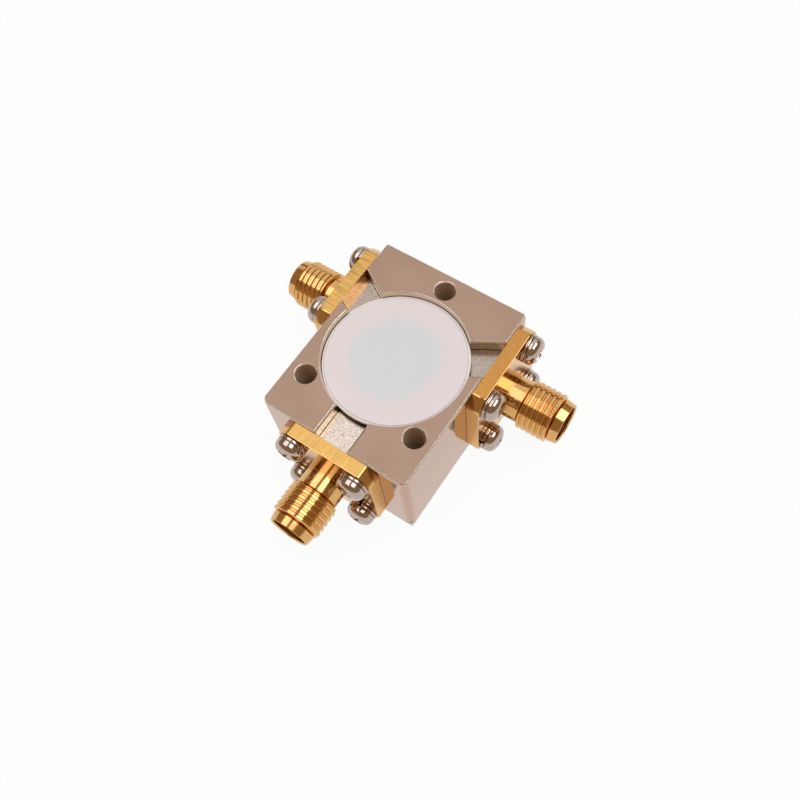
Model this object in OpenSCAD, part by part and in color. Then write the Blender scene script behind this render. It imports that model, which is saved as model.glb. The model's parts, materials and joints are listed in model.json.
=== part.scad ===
// Coaxial Y-junction circulator: a plated block with a ferrite junction under a round lid,
// three filled channels at 120 degrees, and three threaded coaxial jacks on square flanges.
// Millimetres, +Z up. The origin is on the base, under the middle of the junction.
// The front jack points along -Y, the right jack along +X and the left jack along -X.

/* [Housing] */
// Height of the block
body_h = 13; // [12:0.1:15]
// Thickness of the floor under the junction
floor_t = 1.15; // [0.9:0.05:1.8]
// Diameter of the bore that holds the junction
bore_d = 15.3; // [13.9:0.1:17.8]
// Metal between the bore and the two side faces
side_wall = 2.25; // [2.05:0.05:3.5]
// Width of the ledge that the lid sits on
seat_ledge = 1.05; // [0.55:0.05:1.15]
// Depth of the lid's ledge below the top face
seat_depth = 1.15; // [0.8:0.05:1.25]
// Radius of the two front upright corners
front_corner_r = 0.9; // [0.5:0.1:1.8]
// Radius of the two rear upright corners
rear_corner_r = 0.4; // [0.4:0.1:1.8]
// Bevel along the top and bottom edges
edge_bevel = 0.2; // [0.1:0.05:0.35]
// Bevel round the mouths of the bore and the mounting holes
mouth_bevel = 0.15; // [0.05:0.05:0.25]

/* [Mounting holes] */
// Diameter of the three through holes
mount_hole_d = 2.5; // [2:0.1:3]
// Metal between a mounting hole and the lid's ledge
mount_wall = 0.5; // [0.4:0.05:0.9]
// Metal between the rear mounting hole and the rear face
mount_edge = 1; // [0.7:0.05:2.7]
// Angle of the two front mounting holes below the side-to-side line, in degrees
mount_front_angle = 44; // [38:1:50]

/* [Channels] */
// Width of the three channels where they are open at the top
slot_w = 4.4; // [3.6:0.1:4.8]
// Width of the ledge on each side that a channel block sits on
slot_ledge = 0.4; // [0.2:0.05:0.55]
// Depth of the channel blocks' tops below the top face
block_drop = 1.75; // [1.35:0.05:2.1]
// Gap on each side of a channel block
block_gap = 0.05; // [0.02:0.01:0.1]

/* [Junction] */
// Thickness of each ferrite disc
ferrite_t = 1.7; // [1.3:0.1:2]
// Diameter of each ferrite disc
ferrite_d = 9.8; // [8:0.1:11.6]
// Thickness of each pole plate
pole_t = 0.8; // [0.5:0.1:1.1]
// Thickness of each compensating shim
shim_t = 0.4; // [0.3:0.1:0.7]
// Thickness of the centre conductor's sheet
strip_t = 0.2; // [0.1:0.05:0.3]
// Diameter of the centre conductor's round middle
strip_hub_d = 6.7; // [4.5:0.1:8]
// Width of the centre conductor's three arms
strip_arm_w = 2; // [1.3:0.1:2.5]
// Gap between the end of an arm and the jack's flange
arm_end_gap = 0.3; // [0.2:0.05:0.5]
// Gap round the discs in the bore, and round the ferrites in their rings
stack_gap = 0.1; // [0.05:0.05:0.2]

/* [Lid] */
// Thickness of the lid
lid_t = 0.45; // [0.3:0.05:0.7]
// Gap round the lid
lid_gap = 0.05; // [0.05:0.05:0.3]
// Bevel round the lid's upper edge
lid_bevel = 0.05; // [0.05:0.05:0.15]
// Thickness of the round label
label_t = 0.08; // [0.05:0.01:0.15]
// Bare lid left round the label
label_rim = 0.25; // [0.15:0.05:1]

/* [Jacks] */
// How far the flanges stay inside the block's top and bottom faces
flange_inset = 0.15; // [0:0.05:0.45]
// Thickness of the flanges
flange_t = 1.7; // [1.4:0.05:2]
// Metal turned off each corner of a flange, along the diagonal
flange_corner_cut = 0.95; // [0.5:0.05:1.4]
// Length of the smooth root between flange and thread
root_l = 2.9; // [2.3:0.1:3.6]
// Diameter of the smooth root
root_d = 5.3; // [4.9:0.05:5.5]
// Length of the thread
thread_l = 3.8; // [3:0.1:5.5]
// Outer diameter of the thread
thread_d = 6.35; // [6.25:0.05:6.5]
// Length of the tapered lead-in in front of the thread
lead_l = 1.3; // [0.8:0.1:1.8]
// How much wider the lead-in's radius is at the thread than at the rim
lead_rise = 0.17; // [0.1:0.01:0.2]
// Wall of the barrel at the rim
rim_wall = 0.25; // [0.2:0.01:0.3]
// Diameter of the socket at the mouth
mouth_d = 4.6; // [4.3:0.05:4.7]
// Depth of the socket at the mouth
mouth_depth = 1.9; // [1.5:0.05:2.4]
// Diameter of the insulator
insulator_d = 4.1; // [3.8:0.05:4.2]
// Diameter of the centre contact
contact_d = 1.27; // [1.1:0.01:1.4]
// Diameter of the contact's socket
contact_bore_d = 0.93; // [0.85:0.01:0.95]
// Depth of the contact's socket
contact_bore_l = 2.6; // [2:0.1:3.2]
// Width of the slits between the contact's spring fingers
finger_slit = 0.15; // [0.1:0.05:0.25]
// Length of the slits between the contact's spring fingers
finger_l = 2.2; // [1.6:0.1:2.6]
// Diameter of the contact's tail inside the channel
tail_d = 1; // [0.8:0.05:1.1]
// Length of the contact's tail inside the channel
tail_l = 1.5; // [1.1:0.1:1.8]
// Gap round the pressed insulators and contacts
press_gap = 0.02; // [0.01:0.01:0.05]

/* [Fasteners] */
// Diameter of the flange screws
screw_d = 2; // [1.6:0.1:2.2]
// Length of the flange screws under the head
screw_l = 3; // [2.8:0.1:3.2]
// Diameter of the screw heads
head_d = 3.5; // [3.2:0.1:3.8]
// Height of the screw heads
head_h = 1.4; // [1.2:0.1:1.6]
// Radius round the top of the screw heads
head_round = 0.65; // [0.4:0.05:0.9]
// Width of the cross recess in the screw heads
recess_w = 0.45; // [0.3:0.05:0.6]
// Span of the cross recess in the screw heads
recess_span = 2; // [1.5:0.1:2.3]
// Depth of the cross recess in the screw heads
recess_depth = 0.7; // [0.4:0.1:0.9]
// Distance from a screw to the flats of its flange
screw_edge = 2.03; // [1.9:0.01:2.4]
// Clearance round a screw in its flange
screw_clear = 0.15; // [0.1:0.05:0.25]
// Gap round a screw in its tapped hole
thread_gap = 0.02; // [0.01:0.01:0.05]
// Depth left below a screw in its tapped hole
tap_spare = 0.1; // [0.1:0.05:0.2]
// Outer diameter of the split washers
washer_d = 3.6; // [3.2:0.1:3.9]
// Thickness of the split washers
washer_t = 0.45; // [0.35:0.05:0.55]
// Width of the split in the washers
washer_split = 0.3; // [0.2:0.05:0.45]

/* [Hidden] */
PORTS = ["front", "right", "left"];

$fn = 72;
// Overlap of a cut past the face that it opens
over = 0.5;

// The block grows out from the bore: walls, lid ledge, mounting holes, then the outer faces
body_w = bore_d + 2 * side_wall;
seat_d = bore_d + 2 * seat_ledge;
mount_r = seat_d / 2 + mount_wall + mount_hole_d / 2;
body_l = 2 * (mount_r + mount_hole_d / 2 + mount_edge);
mount_angles = [90, 180 + mount_front_angle, 360 - mount_front_angle];
// The four corners in turn: side, end and radius
corners = [[1, 1, rear_corner_r], [-1, 1, rear_corner_r],
    [-1, -1, front_corner_r], [1, -1, front_corner_r]];

// Heights, from the floor up: the two halves of the stack mirror each other about the conductor
seat_z = body_h - seat_depth;
stack_h = seat_z - floor_t;
port_z = floor_t + stack_h / 2;
ground_half = strip_t / 2 + ferrite_t;
magnet_z = ground_half + pole_t;
magnet_t = stack_h / 2 - magnet_z - shim_t;
stack_d = bore_d - 2 * stack_gap;
ring_bore_d = ferrite_d + 2 * stack_gap;
block_top_z = body_h - block_drop;

// Channels leave the bore at 120 degrees, and a jack sits where each one meets a face
channel_angles = [270, 30, 150];
side_port_y = body_w / 2 * tan(30);
port_at = [[0, -body_l / 2], [body_w / 2, side_port_y], [-body_w / 2, side_port_y]];
port_turn = [270, 0, 180];
channel_w = slot_w - 2 * slot_ledge;
channel_reach = body_l;

// Jacks, along their own axis from the block's face
flange_w = 2 * (min(port_z, body_h - port_z) - flange_inset);
flange_turn_d = flange_w * sqrt(2) - 2 * flange_corner_cut;
thread_z = flange_t + root_l;
lead_z = thread_z + thread_l;
rim_z = lead_z + lead_l;
rim_d = mouth_d + 2 * rim_wall;
lead_d = rim_d + 2 * lead_rise;
contact_z = rim_z - mouth_depth;
screw_half = flange_w / 2 - screw_edge;
screw_places = [for (x = [-1, 1]) for (y = [-1, 1]) [x * screw_half, y * screw_half]];
head_z = flange_t + washer_t;
screw_tip_z = head_z - screw_l;
lid_d = seat_d - 2 * lid_gap;
label_d = lid_d - 2 * label_rim;

// Middle of the arc that rounds a corner
function corner_centre(c) = [c[0] * (body_w / 2 - c[2]), c[1] * (body_l / 2 - c[2])];

// Plan of the block: a rectangle with round corners
module block_plan() {
    difference() {
        square([body_w, body_l], center = true);
        for (c = corners)
            translate([c[0] * body_w / 2, c[1] * body_l / 2])
                square(2 * c[2], center = true);
    }
    for (c = corners)
        translate(corner_centre(c))
            circle(r = c[2]);
}

// Section of an edge bevel: a square stood on its corner
module bevel_section() {
    rotate(45)
        square(edge_bevel * sqrt(2), center = true);
}

// Straight length of edge bevel, centred on the edge and lying along X
module straight_bevel(length) {
    rotate([90, 0, 90])
        linear_extrude(length, center = true)
            bevel_section();
}

// All the way round the block's plan at one height
module edge_bevel_ring(z) {
    translate([0, 0, z]) {
        for (s = [-1, 1]) {
            translate([0, s * body_l / 2, 0])
                straight_bevel(body_w - 2 * (s > 0 ? rear_corner_r : front_corner_r));
            translate([s * body_w / 2, (front_corner_r - rear_corner_r) / 2, 0])
                rotate(90)
                    straight_bevel(body_l - front_corner_r - rear_corner_r);
        }
        for (i = [0:3])
            translate(corner_centre(corners[i]))
                rotate(90 * i)
                    rotate_extrude(angle = 90)
                        translate([corners[i][2], 0])
                            bevel_section();
    }
}

// Cone that bevels the mouth of a hole of the given diameter, opening upwards at z = 0
module mouth_cone(d) {
    translate([0, 0, -mouth_bevel])
        cylinder(d1 = d, d2 = d + 4 * mouth_bevel, h = 2 * mouth_bevel);
}

// Straight bar from the middle of the bore out past the faces, between two heights
module channel_bar(i, w, z0, z1) {
    rotate(channel_angles[i])
        translate([0, -w / 2, z0])
            cube([channel_reach, w, z1 - z0]);
}

// Bevels along the two upper edges of a channel
module channel_edge_bevels(i) {
    for (s = [-1, 1])
        rotate(channel_angles[i])
            translate([channel_reach / 2, s * slot_w / 2, body_h])
                straight_bevel(channel_reach);
}

// Puts a jack's own frame, with +Z outwards, on its face of the block
module at_port(i) {
    translate([port_at[i][0], port_at[i][1], port_z])
        rotate(port_turn[i])
            rotate([0, 90, 0])
                children();
}

module mount_hole() {
    translate([0, 0, -over])
        cylinder(d = mount_hole_d, h = body_h + 2 * over);
    translate([0, 0, body_h])
        mouth_cone(mount_hole_d);
    mirror([0, 0, 1])
        mouth_cone(mount_hole_d);
}

module tapped_hole() {
    translate([0, 0, screw_tip_z - tap_spare])
        cylinder(d = screw_d + 2 * thread_gap, h = over - screw_tip_z + tap_spare);
}

// Block with the junction bore, lid ledge, channels, mounting holes and tapped holes
module housing() {
    color([0.75, 0.68, 0.64])
        difference() {
            linear_extrude(body_h)
                block_plan();
            edge_bevel_ring(0);
            edge_bevel_ring(body_h);
            translate([0, 0, floor_t])
                cylinder(d = bore_d, h = body_h);
            translate([0, 0, seat_z])
                cylinder(d = seat_d, h = body_h);
            translate([0, 0, body_h])
                mouth_cone(seat_d);
            for (i = [0:2]) {
                channel_bar(i, slot_w, port_z + ground_half, body_h + over);
                channel_bar(i, channel_w, port_z - ground_half, body_h + over);
                channel_edge_bevels(i);
                at_port(i)
                    for (p = screw_places)
                        translate(p)
                            tapped_hole();
            }
            for (a = mount_angles)
                rotate(a)
                    translate([mount_r, 0, 0])
                        mount_hole();
        }
}

// Bar that closes a channel over its conductor, cut to the bore inside and the face outside
module channel_block(i) {
    color([0.86, 0.83, 0.81])
        difference() {
            intersection() {
                channel_bar(i, slot_w - 2 * block_gap, port_z + ground_half, block_top_z);
                linear_extrude(body_h)
                    square([body_w, body_l], center = true);
            }
            cylinder(d = bore_d, h = body_h);
        }
}

module lid() {
    color([0.72, 0.71, 0.70])
        translate([0, 0, seat_z]) {
            cylinder(d = lid_d, h = lid_t - lid_bevel);
            translate([0, 0, lid_t - lid_bevel])
                cylinder(d1 = lid_d, d2 = lid_d - 2 * lid_bevel, h = lid_bevel);
        }
}

module label() {
    color([0.88, 0.86, 0.85])
        translate([0, 0, seat_z + lid_t])
            cylinder(d = label_d, h = label_t);
}

// One disc of the stack, from z0 to z0 + t above the conductor, or mirrored below it
module stack_disc(side, z0, t, d) {
    translate([0, 0, port_z + (side > 0 ? z0 : -z0 - t)])
        cylinder(d = d, h = t);
}

module ferrite(side) {
    color([0.20, 0.19, 0.20])
        stack_disc(side, strip_t / 2, ferrite_t, ferrite_d);
}

module spacer_ring(side) {
    color([0.93, 0.92, 0.88])
        difference() {
            stack_disc(side, strip_t / 2, ferrite_t, stack_d);
            translate([0, 0, -over])
                cylinder(d = ring_bore_d, h = body_h + 2 * over);
        }
}

module pole_plate(side) {
    color([0.62, 0.62, 0.63])
        stack_disc(side, ground_half, pole_t, stack_d);
}

module magnet(side) {
    color([0.30, 0.30, 0.32])
        stack_disc(side, magnet_z, magnet_t, stack_d);
}

module shim(side) {
    color([0.70, 0.68, 0.62])
        stack_disc(side, magnet_z + magnet_t, shim_t, stack_d);
}

// Sheet with a round middle and three arms that end just short of the jacks' flanges
module centre_conductor() {
    color([0.85, 0.62, 0.38])
        translate([0, 0, port_z - strip_t / 2])
            linear_extrude(strip_t)
                intersection() {
                    union() {
                        circle(d = strip_hub_d);
                        for (a = channel_angles)
                            rotate(a)
                                translate([0, -strip_arm_w / 2])
                                    square([channel_reach, strip_arm_w]);
                    }
                    square([body_w - 2 * arm_end_gap, body_l - 2 * arm_end_gap], center = true);
                }
}

// Half section of a jack's barrel: root, thread envelope, tapered lead-in and socket
module barrel_section() {
    polygon([
        [insulator_d / 2, 0],
        [root_d / 2, 0],
        [root_d / 2, thread_z],
        [thread_d / 2, thread_z],
        [thread_d / 2, lead_z],
        [lead_d / 2, lead_z],
        [rim_d / 2, rim_z],
        [mouth_d / 2, rim_z],
        [mouth_d / 2, contact_z],
        [insulator_d / 2, contact_z]
    ]);
}

// Square flange with turned corners and four screw holes
module flange() {
    difference() {
        linear_extrude(flange_t)
            intersection() {
                square(flange_w, center = true);
                circle(d = flange_turn_d);
            }
        translate([0, 0, -over])
            cylinder(d = insulator_d, h = flange_t + 2 * over);
        for (p = screw_places)
            translate([p[0], p[1], -over])
                cylinder(d = screw_d + 2 * screw_clear, h = flange_t + 2 * over);
    }
}

// Flange and threaded barrel, machined from one bar
module jack_body(i) {
    color([0.85, 0.62, 0.28])
        at_port(i) {
            flange();
            rotate_extrude()
                barrel_section();
        }
}

module insulator(i) {
    color([0.95, 0.94, 0.90])
        at_port(i)
            difference() {
                cylinder(d = insulator_d - 2 * press_gap, h = contact_z);
                translate([0, 0, -over])
                    cylinder(d = contact_d + 2 * press_gap, h = contact_z + 2 * over);
            }
}

// Pin with a slotted tail that grips its arm of the conductor and four spring fingers in front
module contact(i) {
    color([0.88, 0.66, 0.32])
        at_port(i)
            difference() {
                union() {
                    cylinder(d = contact_d, h = contact_z);
                    translate([0, 0, -tail_l])
                        cylinder(d = tail_d, h = tail_l + over);
                }
                translate([0, 0, contact_z - contact_bore_l])
                    cylinder(d = contact_bore_d, h = contact_bore_l + over);
                for (a = [45, 135])
                    rotate(a)
                        translate([-contact_d, -finger_slit / 2, contact_z - finger_l])
                            cube([2 * contact_d, finger_slit, finger_l + over]);
                translate([-strip_t / 2, -tail_d, -tail_l - over])
                    cube([strip_t, 2 * tail_d, tail_l + over - arm_end_gap]);
            }
}

// Spring washer: a flat ring with a slanted split
module lock_washer() {
    difference() {
        cylinder(d = washer_d, h = washer_t);
        translate([0, 0, -over])
            cylinder(d = screw_d + screw_clear, h = washer_t + 2 * over);
        rotate([30, 0, 0])
            translate([0, -washer_split / 2, -washer_d / 2])
                cube([washer_d, washer_split, washer_d]);
    }
}

module lock_washers(i) {
    color([0.70, 0.69, 0.70])
        at_port(i)
            for (p = screw_places)
                translate([p[0], p[1], flange_t])
                    lock_washer();
}

// Half section of a pan head with a round upper edge
module pan_head_section() {
    square([head_d / 2 - head_round, head_h]);
    square([head_d / 2, head_h - head_round]);
    translate([head_d / 2 - head_round, head_h - head_round])
        intersection() {
            circle(r = head_round);
            square(head_round);
        }
}

// Pan-head screw with its underside at z = 0 and a cross recess
module pan_screw() {
    difference() {
        rotate_extrude()
            pan_head_section();
        for (a = [0, 90])
            rotate(a)
                translate([-recess_span / 2, -recess_w / 2, head_h - recess_depth])
                    cube([recess_span, recess_w, recess_depth + over]);
    }
    translate([0, 0, -screw_l])
        cylinder(d = screw_d, h = screw_l);
}

module screws(i) {
    color([0.78, 0.77, 0.77])
        at_port(i)
            for (p = screw_places)
                translate([p[0], p[1], head_z])
                    pan_screw();
}

housing();
lid();
label();
centre_conductor();
ferrite(-1);  // lower_ferrite
ferrite(1);  // upper_ferrite
spacer_ring(-1);  // lower_spacer_ring
spacer_ring(1);  // upper_spacer_ring
pole_plate(-1);  // lower_pole_plate
pole_plate(1);  // upper_pole_plate
magnet(-1);  // lower_magnet
magnet(1);  // upper_magnet
shim(-1);  // lower_shim
shim(1);  // upper_shim
for (i = [0:2]) {
    channel_block(i);
    jack_body(i);
    insulator(i);
    contact(i);
    lock_washers(i);
    screws(i);
}
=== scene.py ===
"""Looks of a coaxial circulator: a nickel-plated block with a white lid, three gold jacks with cut
threads, steel screws on split washers, and the small photo studio that they stand in."""

import json
import math

import bmesh
import bpy
from mathutils import Matrix, Vector


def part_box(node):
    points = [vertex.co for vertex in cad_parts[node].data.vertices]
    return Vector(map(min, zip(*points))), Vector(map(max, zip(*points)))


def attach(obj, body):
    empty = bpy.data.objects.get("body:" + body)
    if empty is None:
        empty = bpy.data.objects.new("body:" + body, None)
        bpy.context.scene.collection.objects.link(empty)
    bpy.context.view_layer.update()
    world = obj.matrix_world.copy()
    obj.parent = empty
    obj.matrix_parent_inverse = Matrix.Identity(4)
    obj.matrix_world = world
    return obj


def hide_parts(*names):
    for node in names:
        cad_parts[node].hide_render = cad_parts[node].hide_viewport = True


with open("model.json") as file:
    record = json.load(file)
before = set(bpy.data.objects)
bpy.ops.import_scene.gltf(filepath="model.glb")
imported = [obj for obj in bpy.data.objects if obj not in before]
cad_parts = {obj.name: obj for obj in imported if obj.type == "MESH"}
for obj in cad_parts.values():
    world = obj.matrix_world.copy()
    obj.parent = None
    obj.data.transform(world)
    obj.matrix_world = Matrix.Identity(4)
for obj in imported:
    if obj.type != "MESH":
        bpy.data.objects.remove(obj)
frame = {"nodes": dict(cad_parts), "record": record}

bl_info = {
    "name": "Coaxial circulator looks",
    "version": (1, 0, 0),
    "blender": (4, 5, 0),
    "location": "3D View > Sidebar > Circulator",
    "description": "Models and finishes the pieces of a coaxial circulator and sets its studio",
    "category": "Object",
}

MM = 0.001
PORTS = ("front", "right", "left")
BODY = "root"
# How far the cutter's ribs are rubbed away on each flange, from nought to one
RIB_WEAR = {"front": 0.4, "right": 0.85, "left": 0}
MOUNTS = {mount["name"]: mount for mount in frame["record"]["mounts"]}

# Steps round a turned piece, and the distance under which two of its points are one
ROUND_STEPS = 96
MERGE = 0.002 * MM
# How far a cutter runs past the face that it opens
PAST = 0.3 * MM
# Edges under the first angle are shaded smooth, and edges over the second are broken
SMOOTH_ANGLE = math.radians(30)
SHARP_ANGLE = math.radians(35)
# Cosine above which a face counts as square to an axis
SQUARE_COSINE = 0.99
# What is left of a recess wing at its foot: shares of its length, width and height
WING_FOOT = (0.35, 0.5, 1)
# How far each washer's split and each screw's recess is turned on from the last one's
SPLIT_TURN = math.radians(137.5)
RECESS_TURN = math.radians(61)

# The studio, in metres: floor, walls, each lamp's place and its two sides, and how far the camera sees
FLOOR_SIDE = 6
WALLS_R = 0.8
KEY_LAMP = (-0.182, -0.04, 0.4), (0.272, 0.36)
FILL_LAMP = (0.155, 0.11, 0.4), (0.203, 0.42)
CLIP_END = 20
# The walls are open round this way, within an angle with this cosine, and up to this angle above the floor
WINDOW_WAY = Vector((-0.35, 0.75, 0.75)).normalized()
WINDOW_COSINE = 0.9
FOOT_ANGLE = math.radians(7.5)
# Width of the camera's sensor, in millimetres
SENSOR_W = 36
# Full white, for a colour socket
WHITE = (1, 1, 1, 1)


def linear(code):
    """Turns an sRGB hex colour into the linear colour that shader sockets take."""
    shares = [int(code[i:i + 2], 16) / 255 for i in (1, 3, 5)]
    return tuple(s / 12.92 if s <= 0.04045 else ((s + 0.055) / 1.055) ** 2.4 for s in shares)


def port_axis(port):
    """The way that a jack points, out of the block."""
    return Vector(MOUNTS[port + "_jack_thread"]["axis"])


def port_origin(port):
    """Middle of a flange's rear face, where it meets the block."""
    low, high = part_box(port + "_jack_body")
    axis = port_axis(port)
    half = abs((high - low).dot(axis)) / 2
    return (low + high) / 2 - axis * half


def port_matrix(port):
    """Place of a jack that was modelled upright, with its rear face on the ground and +Z outwards."""
    axis = port_axis(port)
    turn = math.atan2(axis.y, axis.x)
    lay_down = Matrix.Rotation(math.radians(90), 4, "Y")
    return Matrix.Translation(port_origin(port)) @ Matrix.Rotation(turn, 4, "Z") @ lay_down


def reach(port, node):
    """Nearest and furthest distance of a node from the block's face, along the port's axis."""
    start, axis = port_origin(port), port_axis(port)
    return sorted((corner - start).dot(axis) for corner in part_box(node))


def span(node):
    """Size of a node's box."""
    low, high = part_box(node)
    return high - low


# What the frame says of the front jack and its fasteners, which the other two jacks repeat
FLANGE_W = span("front_jack_body").x
JACK_L = reach("front", "front_jack_body")[1]
FLANGE_T, HEAD_Z = reach("front", "front_lock_washers")
SCREW_TIP_Z, HEAD_TOP_Z = reach("front", "front_screws")
THREAD = MOUNTS["front_jack_thread"]
THREAD_R = THREAD["dims"]["r_mm"] * MM
THREAD_L = THREAD["dims"]["length_mm"] * MM
THREAD_Z = (Vector(THREAD["pos_m"]) - port_origin("front")).dot(port_axis("front")) - THREAD_L / 2
SOCKET = MOUNTS["front_jack_socket"]
SOCKET_R = SOCKET["dims"]["r_mm"] * MM
SOCKET_DEPTH = SOCKET["dims"]["length_mm"] * MM
INSULATOR_D = span("front_insulator").x
LABEL_D = span("label").x
TOP_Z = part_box("housing")[1].z


def length_property(name, description, default):
    """A size in metres that the sidebar shows with its unit."""
    return bpy.props.FloatProperty(
        name=name, description=description, default=default, min=0, precision=5,
        subtype="DISTANCE", unit="LENGTH")


def angle_property(name, description, degrees):
    """An angle, given in degrees."""
    return bpy.props.FloatProperty(
        name=name, description=description, default=math.radians(degrees),
        subtype="ANGLE", unit="ROTATION")


def colour_property(name, description, code):
    """A colour, given as sRGB hex."""
    return bpy.props.FloatVectorProperty(
        name=name, description=description, default=linear(code), size=3, min=0, max=1,
        subtype="COLOR")


def level_property(name, description, default):
    """A plain number, such as a brightness against the white floor."""
    return bpy.props.FloatProperty(name=name, description=description, default=default, min=0)


class JackSizes(bpy.types.PropertyGroup):
    """Sizes of the jacks that the frame doesn't give"""

    corner_cut: length_property("Corner cut", "Metal turned off each flange corner", 0.95 * MM)
    corner_round: length_property("Corner rounding", "Rounding of the flats' ends at the corners", 0.2 * MM)
    edge: length_property("Edge", "Broken edge round the flange", 0.1 * MM)
    hole_d: length_property("Screw hole", "Diameter of the flange's screw holes", 2.3 * MM)
    bore_clear: length_property("Bore clearance", "Gap round the insulator", 0.02 * MM)
    root_d: length_property("Root", "Diameter of the smooth root", 5.3 * MM)
    lead_d: length_property("Lead-in", "Diameter of the lead-in at the thread", 5.44 * MM)
    rim_d: length_property("Rim", "Diameter of the lead-in at the rim", 5.1 * MM)
    rim_edge: length_property("Rim edge", "Broken outer edge at the rim", 0.04 * MM)
    mouth_edge: length_property("Mouth edge", "Countersink of the socket", 0.16 * MM)
    pitch: length_property("Pitch", "Distance between turns: 36 to the inch", 0.7056 * MM)
    crest_drop: length_property("Crest drop", "Worn and plated crests stay this far inside", 0.1 * MM)
    depth: length_property("Depth", "Depth of the thread", 0.17 * MM)
    crest: length_property("Crest", "Flat left on top of the thread", 0.31 * MM)
    valley: length_property("Valley", "Flat at the bottom of the thread", 0.13 * MM)
    relief_w: length_property("Relief width", "Width of the grooves at the thread's ends", 0.24 * MM)
    relief_depth: length_property("Relief depth", "Depth of the grooves at the thread's ends", 0.24 * MM)


class FastenerSizes(bpy.types.PropertyGroup):
    """Sizes of the screws and split washers"""

    head_d: length_property("Head", "Diameter of the screw heads", 3.5 * MM)
    head_wall: length_property("Head wall", "Height at which the head starts to close in", 0.35 * MM)
    head_crown: length_property("Crown", "Rise of the head's top towards its middle", 0.1 * MM)
    head_edge: length_property("Head edge", "Rounding under the head", 0.14 * MM)
    shank_d: length_property("Shank", "Diameter of the screws", 2.0 * MM)
    recess_span: length_property("Recess span", "Span of the cross recess", 2.1 * MM)
    recess_w: length_property("Recess width", "Width of the cross recess", 0.48 * MM)
    recess_depth: length_property("Recess depth", "Depth of the cross recess", 1.0 * MM)
    recess_edge: length_property("Recess edge", "Broken edge of the cross recess", 0.04 * MM)
    washer_d: length_property("Washer", "Diameter of the split washers", 3.6 * MM)
    washer_hole: length_property("Washer hole", "Hole of the split washers", 2.15 * MM)
    washer_edge: length_property("Washer edge", "Rounding of the washers' edges", 0.12 * MM)
    split: length_property("Split", "Width of the washers' split", 0.3 * MM)
    split_slant: angle_property("Split slant", "Slant of the washers' split", 30)


class FinishColours(bpy.types.PropertyGroup):
    """Colours of the finishes"""

    nickel_top: colour_property("Satin nickel", "Blasted top of the block", "#B29684")
    nickel_side: colour_property("Bright nickel", "Polished sides of the block", "#B7927B")
    # Partly the walls' own finish, partly painted light: lighter than the sides against the shade in the
    # channels, seat and holes
    nickel_inner_lightened: colour_property("Inner nickel, painted lighter", "Walls of the channels, the seat and the holes", "#E4D2B8")
    # Painted highlight: a near-white metal, so that the bevels show as bright lines
    bevel: colour_property("Bevel, painted near white", "Bevels of the block", "#F6EEE8")
    channel: colour_property("Channel metal", "Bars in the channels", "#B3A397")
    label_rim: colour_property("Label rim", "Outer part of the label", "#E2D8DB")
    label_middle: colour_property("Label middle", "Greyed middle of the label", "#D6D8DC")
    lid: colour_property("Lid steel", "Edge of the lid", "#C4B0A4")
    enamel: colour_property("Lid enamel", "Rim of the lid round its label", "#EFE6E2")
    gold: colour_property("Gold plate", "Turned faces of the jacks", "#D9A96A")
    milled_gold: colour_property("Milled gold", "Flats of the flanges", "#DBAC64")
    darker_gold: colour_property("Darker gold", "Ribbed flats of the flange that is rubbed most", "#CF9551")
    steel: colour_property("Bright steel", "Screws and washers", "#BBAAA0")
    insulator: colour_property("Insulator", "White fluoropolymer in the jacks", "#F0ECE4")
    copper: colour_property("Conductor", "Silvered copper sheet", "#D9B79A")
    ferrite: colour_property("Ferrite", "Ferrite discs", "#2E2B2C")
    spacer: colour_property("Spacer", "Rings round the ferrites", "#E4DFD2")
    iron: colour_property("Soft iron", "Pole plates and shims", "#A6A19C")
    magnet: colour_property("Magnet", "Hard ferrite magnets", "#3B3838")


class StudioSettings(bpy.types.PropertyGroup):
    """Camera, floor and lamps"""

    azimuth: angle_property("Azimuth", "Camera's way round from the front", 43.46)
    elevation: angle_property("Elevation", "Camera's height above the floor", 63.46)
    roll: angle_property("Roll", "Camera's turn about its own axis", -10.23)
    distance: length_property("Distance", "Camera to the point it looks at", 94.86 * MM)
    aim: bpy.props.FloatVectorProperty(
        name="Aim", description="Point that the camera looks at", size=3, subtype="XYZ", unit="LENGTH",
        default=(3.583 * MM, -4.287 * MM, TOP_Z))
    lens: bpy.props.FloatProperty(
        name="Lens", description="Focal length for a sensor 36 mm wide", default=38.25,
        subtype="DISTANCE_CAMERA")
    floor_glow: level_property("Floor glow", "Share of the floor's white that shadows can't darken", 0.94)
    room: colour_property("Room", "Dim warm walls that the metal mirrors", "#A0886A")
    lamp: colour_property("Lamp", "Daylight of the lamps, a little cool", "#ECF6FF")
    key_level: level_property("Key level", "Brightness of the left lamp", 2.1)
    fill_level: level_property("Fill level", "Brightness of the right lamp", 3.6)


def feed(tree, node, inputs):
    """Fills a node's inputs, each with a value or with another node's output."""
    for key, value in inputs.items():
        if isinstance(value, bpy.types.NodeSocket):
            tree.links.new(value, node.inputs[key])
        else:
            node.inputs[key].default_value = value


def add_node(tree, kind, inputs=None, out=0, **settings):
    """Adds one shader node with its inputs and its own settings, and returns one of its outputs."""
    node = tree.nodes.new("ShaderNode" + kind)
    for name, value in settings.items():
        setattr(node, name, value)
    feed(tree, node, inputs or {})
    return node.outputs[out]


def new_material(name):
    """An empty material, with its node tree and the shader that ends it."""
    material = bpy.data.materials.new(name)
    material.use_nodes = True
    tree = material.node_tree
    return material, tree, tree.nodes["Principled BSDF"]


def rgba(colour):
    """A colour with full alpha, for a colour socket."""
    return (*colour, 1)


def frequency(size_mm):
    """Scale of a noise whose grains are so many millimetres wide, in a frame of metres."""
    return 1 / (size_mm * MM)


# Sockets of the Mix node by number, because those for numbers and colours share their names
NUMBER_A, NUMBER_B, COLOUR_A, COLOUR_B = 2, 3, 6, 7
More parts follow.
